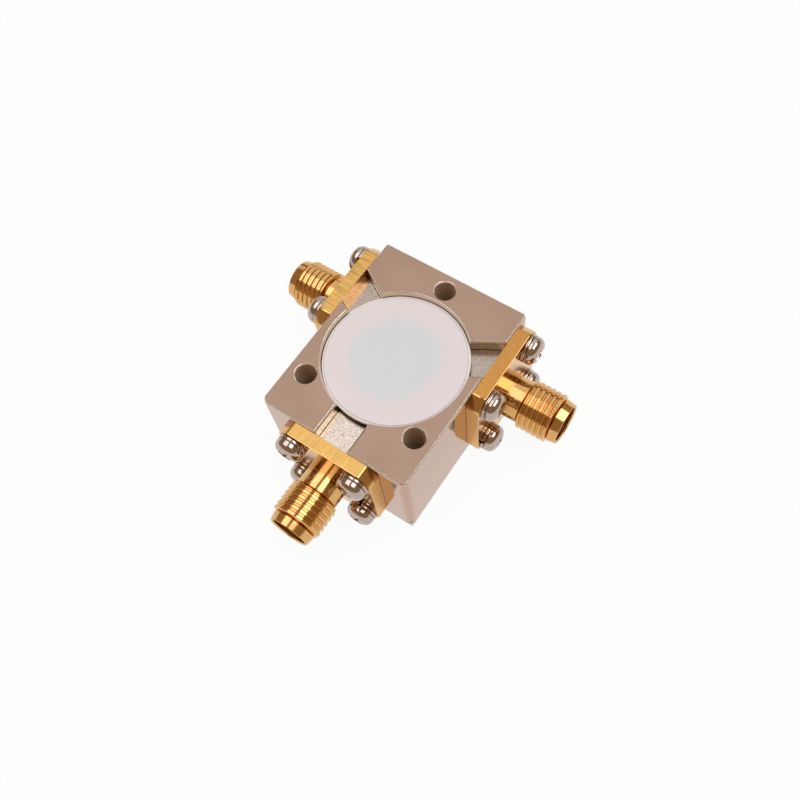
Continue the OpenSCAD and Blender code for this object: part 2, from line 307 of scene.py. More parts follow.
# What makes the Mix node mix colours, and the number of its output for them
COLOURED = {"data_type": "RGBA", "out": 2}
# Nearly all values of a noise lie between these two
NOISE = {"From Min": 0.3, "From Max": 0.7}


def hole_places():
    """Axes of the three fixing holes, on the ground."""
    pair = MOUNTS["front_fixing_holes"]
    half = pair["dims"]["spacing_x_mm"] * MM / 2
    middles = [Vector(pair["pos_m"]) + Vector((side * half, 0, 0)) for side in (-1, 1)]
    middles.append(Vector(MOUNTS["rear_fixing_hole"]["pos_m"]))
    return [(middle.x, middle.y, 0) for middle in middles]


def in_holes(tree, place):
    """One on the walls of the fixing holes and nought elsewhere."""
    margin = 0.05 * MM
    flat = add_node(tree, "VectorMath", {0: place, 1: (1, 1, 0)}, operation="MULTIPLY")
    # Starts further off than any hole
    nearest = 1000 * MM
    for hole in hole_places():
        away = add_node(tree, "VectorMath", {0: flat, 1: hole}, "Value", operation="DISTANCE")
        nearest = add_node(tree, "Math", {0: away, 1: nearest}, operation="MINIMUM")
    edge = MOUNTS["rear_fixing_hole"]["dims"]["r_mm"] * MM + margin
    return add_node(tree, "Math", {0: nearest, 1: edge}, operation="LESS_THAN")


def within_block(tree, place):
    """One inside the block's outline and nought on its outer faces and round corners."""
    margin = 0.3 * MM
    half = span("housing") / 2
    aside = add_node(tree, "VectorMath", {0: place}, operation="ABSOLUTE")
    room = add_node(tree, "VectorMath", {0: tuple(half), 1: aside}, operation="SUBTRACT")
    room = add_node(tree, "SeparateXYZ", {0: room}).node.outputs
    least = add_node(tree, "Math", {0: room["X"], 1: room["Y"]}, operation="MINIMUM")
    return add_node(tree, "Math", {0: least, 1: margin}, operation="GREATER_THAN")


def nickel_plate(colours):
    """Electroless nickel on a milled block: a fine blasted satin on top, a near mirror with faint milled
    lines on the sides, and drilled holes that stay dull. Partly painted light: the walls of the channels,
    the seat and the holes are lighter than the sides against their shade, and the bevels are painted near
    white as a painted highlight."""
    material, tree, shader = new_material("nickel_plate")
    place = add_node(tree, "TexCoord", out="Object")
    normal = add_node(tree, "NewGeometry", out="Normal")
    upright = add_node(tree, "SeparateXYZ", {0: normal}, "Z")
    level = add_node(tree, "Math", {0: upright}, operation="ABSOLUTE")
    is_top = add_node(tree, "MapRange", {
        "Value": level, "From Min": 0.9, "From Max": 0.99}, interpolation_type="SMOOTHSTEP")
    # Blasted grain is finer than a pixel: it is drawn a quarter of a millimetre wide, so that it shows
    grain = add_node(tree, "TexNoise", {
        "Vector": place, "Scale": frequency(0.25), "Detail": 4, "Roughness": 0.6})
    cloud = add_node(tree, "TexNoise", {"Vector": place, "Scale": frequency(7), "Detail": 2})
    tint = add_node(tree, "MapRange", {**NOISE, "Value": cloud, "To Min": 0.93, "To Max": 1.05})
    speckle = add_node(tree, "MapRange", {**NOISE, "Value": grain, "To Min": 0.9, "To Max": 1.08})
    shade = add_node(tree, "Math", {0: tint, 1: speckle}, operation="MULTIPLY")
    satin = add_node(tree, "VectorMath", {0: tuple(colours.nickel_top), "Scale": shade}, operation="SCALE")
    # The mill leaves faint level lines on the sides, drawn coarser than they are
    level_lines = add_node(tree, "VectorMath", {0: place, 1: (0.03, 0.03, 1)}, operation="MULTIPLY")
    milled = add_node(tree, "TexNoise", {"Vector": level_lines, "Scale": frequency(0.3), "Detail": 2})
    shade = add_node(tree, "MapRange", {**NOISE, "Value": milled, "To Min": 0.94, "To Max": 1.04})
    base = add_node(tree, "VectorMath", {0: tuple(colours.nickel_side), "Scale": shade}, operation="SCALE")
    # Nought on upright and level faces, one on slopes of half a right angle
    slope = add_node(tree, "Math", {0: level, 1: math.sqrt(0.5), 2: 0.15}, operation="COMPARE")
    drilled = in_holes(tree, place)
    holes_lightened_less = add_node(tree, "Math", {0: drilled, 1: 0.3}, operation="MULTIPLY")
    inner = within_block(tree, place)
    cut = add_node(tree, "Math", {0: inner, 1: holes_lightened_less}, operation="SUBTRACT")
    # Painted light: the walls of the channels and the seat, and less so the holes, take a lighter nickel
    # against their shade; painted highlight: the bevel slopes take a near-white one
    for share, colour in ((cut, rgba(colours.nickel_inner_lightened)), (slope, rgba(colours.bevel)), (is_top, satin)):
        base = add_node(tree, "Mix", {0: share, COLOUR_A: base, COLOUR_B: colour}, **COLOURED)
    satin_rough = add_node(tree, "MapRange", {**NOISE, "Value": grain, "To Min": 0.56, "To Max": 0.66})
    rough = add_node(tree, "MapRange", {**NOISE, "Value": milled, "To Min": 0.05, "To Max": 0.1})
    for share, value in ((inner, 0.2), (drilled, 0.8), (slope, 0.24), (is_top, satin_rough)):
        rough = add_node(tree, "Mix", {0: share, NUMBER_A: rough, NUMBER_B: value})
    depth = add_node(tree, "Math", {0: is_top, 1: 0.12}, operation="MULTIPLY")
    # Plating rounds the milled bevels, so that they catch a thin bright line
    soft_edge = add_node(tree, "Bevel", {"Radius": 0.2 * MM}, samples=6)
    bump = add_node(tree, "Bump", {
        "Strength": depth, "Distance": 0.02 * MM, "Height": grain, "Normal": soft_edge})
    feed(tree, shader, {"Base Color": base, "Roughness": rough, "Normal": bump, "Metallic": 1})
    return material


def channel_metal(colours):
    """Tinned brass bars, rubbed on a fine stone: bright, with short dark scratches that break the gloss."""
    material, tree, shader = new_material("tinned_brass")
    place = add_node(tree, "TexCoord", out="Object")
    along = add_node(tree, "VectorRotate", {
        "Vector": place, "Angle": math.radians(58)}, rotation_type="Z_AXIS")
    strokes = add_node(tree, "VectorMath", {0: along, 1: (1, 0.25, 1)}, operation="MULTIPLY")
    grain = add_node(tree, "TexNoise", {
        "Vector": strokes, "Scale": frequency(0.08), "Detail": 1, "Roughness": 0.5})
    shade = add_node(tree, "MapRange", {
        "Value": grain, "From Min": 0.34, "From Max": 0.56, "To Min": 0.7, "To Max": 1.02})
    base = add_node(tree, "VectorMath", {0: tuple(colours.channel), "Scale": shade}, operation="SCALE")
    rough = add_node(tree, "MapRange", {**NOISE, "Value": grain, "To Min": 0.28, "To Max": 0.2})
    bump = add_node(tree, "Bump", {"Strength": 0.1, "Distance": 0.01 * MM, "Height": grain})
    feed(tree, shader, {"Base Color": base, "Roughness": rough, "Normal": bump, "Metallic": 1})
    return material


def lid_steel(colours):
    """Rolled steel sheet, bare and dull at its cut edge, with white enamel on top."""
    material, tree, shader = new_material("enamelled_steel")
    place = add_node(tree, "TexCoord", out="Object")
    normal = add_node(tree, "NewGeometry", out="Normal")
    upright = add_node(tree, "SeparateXYZ", {0: normal}, "Z")
    bare = add_node(tree, "Math", {0: upright, 1: 0.5}, operation="LESS_THAN")
    # The shears drag along the edge, round the lid
    streaks = add_node(tree, "VectorMath", {0: place, 1: (1, 1, 4)}, operation="MULTIPLY")
    grain = add_node(tree, "TexNoise", {"Vector": streaks, "Scale": frequency(0.4), "Detail": 3})
    shade = add_node(tree, "MapRange", {**NOISE, "Value": grain, "To Min": 0.88, "To Max": 1.06})
    steel = add_node(tree, "VectorMath", {0: tuple(colours.lid), "Scale": shade}, operation="SCALE")
    base = add_node(tree, "Mix", {0: bare, COLOUR_A: rgba(colours.enamel), COLOUR_B: steel}, **COLOURED)
    rough = add_node(tree, "MapRange", {**NOISE, "Value": grain, "To Min": 0.3, "To Max": 0.42})
    feed(tree, shader, {"Base Color": base, "Roughness": rough, "Metallic": bare})
    return material


def label_film(colours):
    """White vinyl film: smooth and a little glossy, with a rubbed grey round in the middle."""
    material, tree, shader = new_material("white_vinyl_film")
    place = add_node(tree, "TexCoord", out="Object")
    flat = add_node(tree, "VectorMath", {0: place, 1: (1, 1, 0)}, operation="MULTIPLY")
    radius = add_node(tree, "VectorMath", {0: flat}, "Value", operation="LENGTH")
    smear = add_node(tree, "TexNoise", {"Vector": flat, "Scale": frequency(3.5), "Detail": 1})
    wander = add_node(tree, "MapRange", {"Value": smear, "To Min": -1.2 * MM, "To Max": 1.2 * MM})
    edge = add_node(tree, "Math", {0: radius, 1: wander}, operation="ADD")
    middle = add_node(tree, "MapRange", {
        "Value": edge, "From Min": 6.2 * MM, "From Max": 4.6 * MM}, interpolation_type="SMOOTHSTEP")
    film = add_node(tree, "Mix", {
        0: middle, COLOUR_A: rgba(colours.label_rim), COLOUR_B: rgba(colours.label_middle)}, **COLOURED)
    # Darker in a thin ring at the edge
    edge_darkening = add_node(tree, "MapRange", {
        "Value": radius, "From Min": LABEL_D / 2 - 0.1 * MM, "From Max": LABEL_D / 2 - 0.04 * MM,
        "To Min": 1, "To Max": 0.72})
    base = add_node(tree, "VectorMath", {0: film, "Scale": edge_darkening}, operation="SCALE")
    rough = add_node(tree, "MapRange", {"Value": smear, "To Min": 0.3, "To Max": 0.42})
    feed(tree, shader, {"Base Color": base, "Roughness": rough})
    return material


def turned_gold(colours):
    """Gold over nickel on turned brass: a polished mirror with faint rings from the tool."""
    material, tree, shader = new_material("turned_gold_plate")
    place = add_node(tree, "Attribute", out="Vector", attribute_name="jack_place")
    rings = add_node(tree, "VectorMath", {0: place, 1: (0.1, 0.1, 1)}, operation="MULTIPLY")
    marks = add_node(tree, "TexNoise", {
        "Vector": rings, "Scale": frequency(0.3), "Detail": 2, "Roughness": 0.5})
    shade = add_node(tree, "MapRange", {**NOISE, "Value": marks, "To Min": 0.94, "To Max": 1.03})
    base = add_node(tree, "VectorMath", {0: tuple(colours.gold), "Scale": shade}, operation="SCALE")
    rough = add_node(tree, "MapRange", {**NOISE, "Value": marks, "To Min": 0.12, "To Max": 0.18})
    bump = add_node(tree, "Bump", {"Strength": 0.05, "Distance": 0.02 * MM, "Height": marks})
    feed(tree, shader, {"Base Color": base, "Roughness": rough, "Normal": bump, "Metallic": 1})
    return material


def milled_gold(colours):
    """Gold over nickel on milled brass: duller, ribbed across by the cutter on the upper and lower flats,
    rubbed more on some flanges than on others, and darkened with painted shade where the flange meets the
    block."""
    material, tree, shader = new_material("milled_gold_plate")
    place = add_node(tree, "Attribute", out="Vector", attribute_name="jack_place")
    # Each rib runs along the jack, and hardly changes that way
    ribs = add_node(tree, "VectorMath", {0: place, 1: (0.05, 1, 0.04)}, operation="MULTIPLY")
    cutter = add_node(tree, "TexNoise", {
        "Vector": ribs, "Scale": frequency(0.15), "Detail": 2, "Roughness": 0.6})
    grain = add_node(tree, "TexNoise", {"Vector": place, "Scale": frequency(0.18), "Detail": 2})
    aside = add_node(tree, "VectorMath", {0: place}, operation="ABSOLUTE")
    aside = add_node(tree, "SeparateXYZ", {0: aside}).node.outputs
    ribbed = add_node(tree, "Math", {0: aside["X"], 1: aside["Y"]}, operation="GREATER_THAN")
    wear = add_node(tree, "Attribute", out="Fac", attribute_name="rib_wear")
    sharp = add_node(tree, "Math", {0: ribbed, 1: wear}, operation="SUBTRACT")
    marks = add_node(tree, "Mix", {0: sharp, NUMBER_A: grain, NUMBER_B: cutter})
    # Worn ribs lose their dark valleys and their bright crests
    valley = add_node(tree, "Math", {0: wear, 1: 0.14, 2: 0.62}, operation="MULTIPLY_ADD")
    crest = add_node(tree, "Math", {0: wear, 1: -0.15, 2: 1.0}, operation="MULTIPLY_ADD")
    low = add_node(tree, "Mix", {0: ribbed, NUMBER_A: 1.06, NUMBER_B: valley})
    high = add_node(tree, "Mix", {0: ribbed, NUMBER_A: 1.22, NUMBER_B: crest})
    shade = add_node(tree, "MapRange", {
        "Value": marks, "From Min": 0.38, "From Max": 0.56, "To Min": low, "To Max": high})
    # Painted shade: the gold darkens towards the rear face, in the groove where the flange meets the block
    height = add_node(tree, "SeparateXYZ", {0: place}, "Z")
    seam_shade = add_node(tree, "MapRange", {
        "Value": height, "From Min": 0.03 * MM, "From Max": 0.13 * MM, "To Min": 0.25},
        interpolation_type="SMOOTHSTEP")
    shade = add_node(tree, "Math", {0: shade, 1: seam_shade}, operation="MULTIPLY")
    # The ribbed flats turn to a darker, more orange gold as the rib wear rises from the front flange's to
    # the right flange's
    thin = add_node(tree, "MapRange", {
        "Value": wear, "From Min": RIB_WEAR["front"], "From Max": RIB_WEAR["right"], "To Max": ribbed})
    plate = add_node(tree, "Mix", {
        0: thin, COLOUR_A: rgba(colours.milled_gold), COLOUR_B: rgba(colours.darker_gold)}, **COLOURED)
    base = add_node(tree, "VectorMath", {0: plate, "Scale": shade}, operation="SCALE")
    rough = add_node(tree, "MapRange", {**NOISE, "Value": grain, "To Min": 0.36, "To Max": 0.46})
    bump = add_node(tree, "Bump", {"Strength": 0.25, "Distance": 0.02 * MM, "Height": marks})
    feed(tree, shader, {"Base Color": base, "Roughness": rough, "Normal": bump, "Metallic": 1})
    return material


def plain_finish(name, colour, metallic, roughness, grain_mm, contrast):
    """A finish of one colour with a fine even grain in its shade and gloss."""
    material, tree, shader = new_material(name)
    place = add_node(tree, "TexCoord", out="Object")
    grain = add_node(tree, "TexNoise", {"Vector": place, "Scale": frequency(grain_mm), "Detail": 3})
    shade = add_node(tree, "MapRange", {
        **NOISE, "Value": grain, "To Min": 1 - contrast, "To Max": 1 + contrast / 2})
    base = add_node(tree, "VectorMath", {0: tuple(colour), "Scale": shade}, operation="SCALE")
    rough = add_node(tree, "MapRange", {
        **NOISE, "Value": grain, "To Min": roughness * 0.85, "To Max": roughness * 1.2})
    feed(tree, shader, {"Base Color": base, "Roughness": rough, "Metallic": metallic})
    return material


def dress(node, material):
    """Gives a carried-over node its finish."""
    for slot in frame["nodes"][node].material_slots:
        slot.link = "OBJECT"
        slot.material = material


def only(piece):
    """Selects one piece and nothing else."""
    bpy.ops.object.select_all(action="DESELECT")
    piece.select_set(True)
    bpy.context.view_layer.objects.active = piece


def named(name):
    """Names the piece that was just made, and its mesh."""
    piece = bpy.context.object
    piece.name = name
    piece.data.name = name
    return piece


def pick_faces(piece, test):
    """In edit mode, selects the faces that pass a test."""
    mesh = bmesh.from_edit_mesh(piece.data)
    for face in mesh.faces:
        face.select_set(test(face))
    bmesh.update_edit_mesh(piece.data)


def draw_section(name, points):
    """Draws a closed half section along its (radius, height) points, and leaves it selected in edit mode."""
    bpy.ops.mesh.primitive_plane_add(size=MM)
    piece = named(name)
    bpy.ops.object.mode_set(mode="EDIT")
    bpy.ops.mesh.select_all(action="SELECT")
    bpy.ops.mesh.merge(type="CENTER")
    path = [Vector((radius, 0, height)) for radius, height in (*points, points[0])]
    bpy.ops.transform.translate(value=path[0])
    for here, there in zip(path, path[1:]):
        bpy.ops.mesh.extrude_vertices_move(TRANSFORM_OT_translate={"value": there - here})
    bpy.ops.mesh.select_all(action="SELECT")
    bpy.ops.mesh.remove_doubles(threshold=MERGE)
    return piece


def close_up():
    """In edit mode, merges doubles, turns all faces outwards and leaves edit mode."""
    bpy.ops.mesh.select_all(action="SELECT")
    bpy.ops.mesh.remove_doubles(threshold=MERGE)
    bpy.ops.mesh.normals_make_consistent(inside=False)
    bpy.ops.object.mode_set(mode="OBJECT")


def turned(name, points):
    """A lathe-turned piece: a half section spun round Z."""
    piece = draw_section(name, points)
    bpy.ops.mesh.spin(steps=ROUND_STEPS, angle=math.tau, center=(0, 0, 0), axis=(0, 0, 1))
    close_up()
    return piece


def apply_modifier(piece, kind, **settings):
    """Adds a modifier to a piece and applies it."""
    only(piece)
    modifier = piece.modifiers.new(kind.lower(), kind)
    for name, value in settings.items():
        setattr(modifier, name, value)
    bpy.ops.object.modifier_apply(modifier=modifier.name)


def combine(piece, other, operation):
    """Joins another piece on, or cuts it out, and uses it up."""
    apply_modifier(piece, "BOOLEAN", operation=operation, object=other, solver="EXACT")
    bpy.data.objects.remove(other)


def break_edges(piece, width):
    """Rounds every sharp edge of a piece a little, so that it catches the light."""
    apply_modifier(piece, "BEVEL", width=width, segments=2, limit_method="ANGLE",
                   angle_limit=SHARP_ANGLE)


def placed_copy(piece, name, matrix):
    """A copy with a mesh of its own, moved to its place, with the place in its mesh."""
    only(piece)
    bpy.ops.object.duplicate(linked=False)
    copy = named(name)
    copy.matrix_world = matrix
    bpy.ops.object.transform_apply(location=True, rotation=True, scale=True)
    return copy


def hand_over(piece, node):
    """Shades a finished piece, with its flats flat and its edges round, and lets it stand for its node."""
    only(piece)
    bpy.ops.object.shade_smooth_by_angle(angle=SMOOTH_ANGLE)
    apply_modifier(piece, "WEIGHTED_NORMAL", weight=100, keep_sharp=True)
    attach(piece, BODY)
    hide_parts(node)


def arc(centre, radius, start, end, steps):
    """Points (radius, height) on a round corner of a half section, angles in degrees."""
    angles = [math.radians(start + (end - start) * i / steps) for i in range(steps + 1)]
    return [(centre[0] + radius * math.cos(a), centre[1] + radius * math.sin(a)) for a in angles]


def screw_places(fasteners):
    """The four screws of a flange, in its own plane."""
    half = (span("front_screws").x - fasteners.head_d) / 2
    return [(x * half, y * half) for x in (-1, 1) for y in (-1, 1)]


def joined(pieces, name):
    """Several copies as one piece."""
    only(pieces[0])
    for piece in pieces:
        piece.select_set(True)
    bpy.ops.object.join()
    return named(name)


def spread(piece, sizes, height, turn, name, node):
    """Sets four copies of a fastener on each flange, turned as the driver left them, and uses it up."""
    count = 0
    for port in PORTS:
        copies = []
        for x, y in screw_places(sizes):
            count += 1
            seat = Matrix.Translation((x, y, height)) @ Matrix.Rotation(count * turn, 4, "Z")
            copies.append(placed_copy(piece, f"copy_{count}", port_matrix(port) @ seat))
        hand_over(joined(copies, port + name), port + node)
    bpy.data.objects.remove(piece)


def round_corners(plate, radius):
    """Rounds the upright edges where a flange's flats meet its turned corners."""
    bpy.ops.object.mode_set(mode="EDIT")
    bpy.ops.mesh.select_mode(type="EDGE")
    mesh = bmesh.from_edit_mesh(plate.data)
    for edge in mesh.edges:
        start, end = (corner.co for corner in edge.verts)
        is_upright = abs(end.z - start.z) > FLANGE_T / 2
        is_on_flat = abs(max(abs(start.x), abs(start.y)) - FLANGE_W / 2) < MERGE
        edge.select_set(is_upright and is_on_flat)
    bmesh.update_edit_mesh(plate.data)
    bpy.ops.mesh.bevel(offset=radius, segments=3, affect="EDGES")
    bpy.ops.mesh.select_mode(type="VERT")
    close_up()


def flange_plate(jack, fasteners):
    """A turned disc with four flats milled off, drilled for its screws."""
    corner_r = FLANGE_W / math.sqrt(2) - jack.corner_cut
    bpy.ops.mesh.primitive_cylinder_add(
        vertices=2 * ROUND_STEPS, radius=corner_r, depth=FLANGE_T, location=(0, 0, FLANGE_T / 2))
    plate = named("flange")
    bpy.ops.object.transform_apply(location=True)
    bpy.ops.object.mode_set(mode="EDIT")
    for side in range(4):
        outward = Matrix.Rotation(side * math.pi / 2, 3, "Z") @ Vector((1, 0, 0))
        bpy.ops.mesh.select_all(action="SELECT")
        bpy.ops.mesh.bisect(plane_co=outward * FLANGE_W / 2, plane_no=outward, use_fill=True,
                            clear_outer=True, threshold=MERGE)
    close_up()
    round_corners(plate, jack.corner_round)
    for x, y in screw_places(fasteners):
        bpy.ops.mesh.primitive_cylinder_add(
            vertices=ROUND_STEPS // 2, radius=jack.hole_d / 2, depth=FLANGE_T + 2 * PAST,
            location=(x, y, FLANGE_T / 2))
        combine(plate, named("drill"), "DIFFERENCE")
    break_edges(plate, jack.edge)
    return plate


def barrel_blank(jack):
    """The barrel before it is bored and threaded: root, thread between two relief grooves, tapered
    lead-in and rim."""
    lead_z = THREAD_Z + THREAD_L
    root_r, lead_r, rim_r = jack.root_d / 2, jack.lead_d / 2, jack.rim_d / 2
    crest_r = THREAD_R - jack.crest_drop
    return turned("barrel", [
        (0, FLANGE_T / 2),
        (root_r, FLANGE_T / 2),
        (root_r, THREAD_Z - jack.relief_w),
        (root_r - jack.relief_depth, THREAD_Z - jack.relief_w / 2),
        (crest_r - jack.depth, THREAD_Z),
        (crest_r, THREAD_Z + jack.depth / 2),
        (crest_r, lead_z - jack.depth / 2),
        (crest_r - jack.depth, lead_z),
        (lead_r - jack.relief_depth, lead_z + jack.relief_w / 2),
        (lead_r, lead_z + jack.relief_w),
        (rim_r, JACK_L - jack.rim_edge),
        (rim_r - jack.rim_edge, JACK_L),
        (0, JACK_L),
    ])


def bore_cutter(jack):
    """The hollow of a jack: the insulator's bore, the wider socket and its broken edge."""
    insulator_r = INSULATOR_D / 2 + jack.bore_clear
    step_z = JACK_L - SOCKET_DEPTH
    return turned("bore", [
        (0, -PAST),
        (insulator_r, -PAST),
        (insulator_r, step_z),
        (SOCKET_R, step_z),
        (SOCKET_R, JACK_L - jack.mouth_edge),
        (SOCKET_R + jack.mouth_edge + PAST, JACK_L + PAST),
        (0, JACK_L + PAST),
    ])


def thread_cutter(jack):
    """The groove that a die leaves: a short section wound along the barrel."""
    past_crest = 0.02 * MM
    flank = (jack.pitch - jack.crest - jack.valley) / 2 / jack.depth
    crest_r = THREAD_R - jack.crest_drop
    valley_r = crest_r - jack.depth
    outer_half = jack.valley / 2 + (jack.depth + past_crest) * flank
    start_z = THREAD_Z - jack.pitch
    groove = draw_section("thread", [
        (valley_r, start_z - jack.valley / 2),
        (crest_r + past_crest, start_z - outer_half),
        (crest_r + past_crest, start_z + outer_half),
        (valley_r, start_z + jack.valley / 2),
    ])
    bpy.ops.object.mode_set(mode="OBJECT")
    turns = math.ceil(THREAD_L / jack.pitch) + 1
    apply_modifier(groove, "SCREW", axis="Z", angle=math.tau, screw_offset=jack.pitch, iterations=turns,
                   steps=ROUND_STEPS, render_steps=ROUND_STEPS)
    bpy.ops.object.mode_set(mode="EDIT")
    bpy.ops.mesh.select_all(action="SELECT")
    bpy.ops.mesh.fill_holes(sides=4)
    close_up()
    return groove


def jack_shell(jack, fasteners):
    """Flange and barrel cut from one bar, upright on its rear face."""
    shell = flange_plate(jack, fasteners)
    combine(shell, barrel_blank(jack), "UNION")
    combine(shell, bore_cutter(jack), "DIFFERENCE")
    combine(shell, thread_cutter(jack), "DIFFERENCE")
    return shell


def recess_cutter(sizes, head_h, turn):
    """One wing of a cross recess: a bar that narrows towards its bottom."""
    bpy.ops.mesh.primitive_cube_add(size=1)
    wing = named("wing")
    bpy.ops.object.mode_set(mode="EDIT")
    pick_faces(wing, lambda face: face.normal.z < -SQUARE_COSINE)
    bpy.ops.transform.resize(value=WING_FOOT)
    bpy.ops.object.mode_set(mode="OBJECT")
    height = sizes.recess_depth + PAST
    wing.matrix_world = Matrix.Translation((0, 0, head_h + PAST - height / 2)) @ Matrix.Rotation(
        turn, 4, "Z") @ Matrix.Diagonal((sizes.recess_span, sizes.recess_w, height, 1))
    return wing


class CIRCULATOR_OT_block(bpy.types.Operator):
    """Finishes the plated block"""

    bl_idname = "circulator.block"
    bl_label = "Finish block"

    def execute(self, context):
        dress("housing", nickel_plate(context.scene.circulator_colours))
        return {"FINISHED"}


class CIRCULATOR_OT_lid(bpy.types.Operator):
    """Finishes the lid and its label"""

    bl_idname = "circulator.lid"
    bl_label = "Finish lid"

    def execute(self, context):
        colours = context.scene.circulator_colours
        dress("lid", lid_steel(colours))
        dress("label", label_film(colours))
        return {"FINISHED"}


class CIRCULATOR_OT_channel_blocks(bpy.types.Operator):
    """Finishes the bars in the three channels"""

    bl_idname = "circulator.channel_blocks"
    bl_label = "Finish channel blocks"

    def execute(self, context):
        metal = channel_metal(context.scene.circulator_colours)
        for port in PORTS:
            dress(port + "_channel_block", metal)
        return {"FINISHED"}


class CIRCULATOR_OT_junction(bpy.types.Operator):
    """Finishes the stack under the lid"""

    bl_idname = "circulator.junction"
    bl_label = "Finish junction"

    def execute(self, context):
        colours = context.scene.circulator_colours
        finishes = {
            # Sintered and ground garnet: near black, dull
            "ferrite": plain_finish("ground_ferrite", colours.ferrite, 0, 0.55, 0.3, 0.2),
            # Cast plastic: pale and waxy
            "spacer_ring": plain_finish("cast_plastic", colours.spacer, 0, 0.45, 0.8, 0.06),
            # Soft iron, ground flat: grey with a dull gloss
            "pole_plate": plain_finish("ground_iron", colours.iron, 1, 0.38, 0.4, 0.12),
            # Hard ferrite: charcoal and chalky
            "magnet": plain_finish("hard_ferrite", colours.magnet, 0, 0.6, 0.35, 0.2),
            # Rolled nickel iron: grey with a softer gloss
            "shim": plain_finish("rolled_nickel_iron", colours.iron, 1, 0.3, 0.5, 0.08),
        }
        for piece, finish in finishes.items():
            for side in ("lower", "upper"):
                dress(f"{side}_{piece}", finish)
        # Etched copper with a thin silver wash: pale pink metal
        dress("centre_conductor", plain_finish("silvered_copper", colours.copper, 1, 0.25, 0.5, 0.08))
        return {"FINISHED"}


class CIRCULATOR_OT_jacks(bpy.types.Operator):
    """Cuts the jack with its thread once and sets it at the three ports"""

    bl_idname = "circulator.jacks"
    bl_label = "Make jacks"

    def execute(self, context):
        scene = context.scene
        shell = jack_shell(scene.circulator_jack, scene.circulator_fasteners)
        for finish in (turned_gold, milled_gold):
            shell.data.materials.append(finish(scene.circulator_colours))
        only(shell)
        flat = FLANGE_W / 2 - 0.5 * scene.circulator_jack.edge
        bpy.ops.object.mode_set(mode="EDIT")
        pick_faces(shell, lambda face: max(map(abs, face.calc_center_median()[:2])) > flat
                   and max(map(abs, face.normal[:2])) > SQUARE_COSINE)
        shell.active_material_index = 1
        bpy.ops.object.material_slot_assign()
        bpy.ops.object.mode_set(mode="OBJECT")
        place = shell.data.attributes.new("jack_place", "FLOAT_VECTOR", "POINT")
        for i, vertex in enumerate(shell.data.vertices):
            place.data[i].vector = vertex.co
        for port in PORTS:
            jack = placed_copy(shell, port + "_threaded_jack", port_matrix(port))
            wear = jack.data.attributes.new("rib_wear", "FLOAT", "POINT")
            wear.data.foreach_set("value", [RIB_WEAR[port]] * len(jack.data.vertices))
            hand_over(jack, port + "_jack_body")
        bpy.data.objects.remove(shell)
        return {"FINISHED"}


class CIRCULATOR_OT_contacts(bpy.types.Operator):
    """Finishes the insulators and centre contacts"""

    bl_idname = "circulator.contacts"
    bl_label = "Finish contacts"

    def execute(self, context):
        colours = context.scene.circulator_colours
        # Turned fluoropolymer: milky white and waxy
        white = plain_finish("turned_fluoropolymer", colours.insulator, 0, 0.42, 0.6, 0.05)
        # Gold over beryllium copper: polished
        gold = plain_finish("gold_on_spring_copper", colours.gold, 1, 0.16, 0.4, 0.06)
        for port in PORTS:
            dress(port + "_insulator", white)
            dress(port + "_contact", gold)
        return {"FINISHED"}


class CIRCULATOR_OT_washers(bpy.types.Operator):
    """Cuts one split washer and sets four on each flange"""

    bl_idname = "circulator.washers"
    bl_label = "Make washers"

    def execute(self, context):
        scene = context.scene
        sizes = scene.circulator_fasteners
        thickness = HEAD_Z - FLANGE_T
        outer_r, inner_r = sizes.washer_d / 2, sizes.washer_hole / 2
        washer = turned("washer", [(inner_r, 0), (outer_r, 0), (outer_r, thickness), (inner_r, thickness)])
        break_edges(washer, sizes.washer_edge)
        bpy.ops.mesh.primitive_cube_add(size=1)
        slab = named("slab")
        slab.matrix_world = Matrix.Rotation(sizes.split_slant, 4, "X") @ Matrix.Translation(
            (outer_r, 0, 0)) @ Matrix.Diagonal((sizes.washer_d, sizes.split, sizes.washer_d, 1))
        combine(washer, slab, "DIFFERENCE")
        steel = plain_finish("bright_spring_steel", scene.circulator_colours.steel, 1, 0.14, 0.4, 0.1)
        washer.data.materials.append(steel)
        spread(washer, sizes, FLANGE_T, SPLIT_TURN, "_split_washers", "_lock_washers")
        return {"FINISHED"}


class CIRCULATOR_OT_screws(bpy.types.Operator):
    """Turns one pan-head screw with a cross recess and sets four on each flange"""

    bl_idname = "circulator.screws"
    bl_label = "Make screws"

    def execute(self, context):
        scene = context.scene
        sizes = scene.circulator_fasteners
        head_h = HEAD_TOP_Z - HEAD_Z
        head_r, shank_r = sizes.head_d / 2, sizes.shank_d / 2
        round_r = head_h - sizes.head_crown - sizes.head_wall
        screw = turned("screw", [
            (0, SCREW_TIP_Z - HEAD_Z),
            (shank_r, SCREW_TIP_Z - HEAD_Z),
            (shank_r, 0),
            *arc((head_r - sizes.head_edge, sizes.head_edge), sizes.head_edge, -90, 0, 5),
            *arc((head_r - round_r, sizes.head_wall), round_r, 0, 80, 10),
            (0, head_h),
        ])
        for turn in (0, math.pi / 2):
            combine(screw, recess_cutter(sizes, head_h, turn), "DIFFERENCE")
        break_edges(screw, sizes.recess_edge)
        steel = plain_finish("bright_plated_steel", scene.circulator_colours.steel, 1, 0.14, 0.4, 0.12)
        screw.data.materials.append(steel)
        spread(screw, sizes, HEAD_Z, RECESS_TURN, "_pan_screws", "_screws")
        return {"FINISHED"}


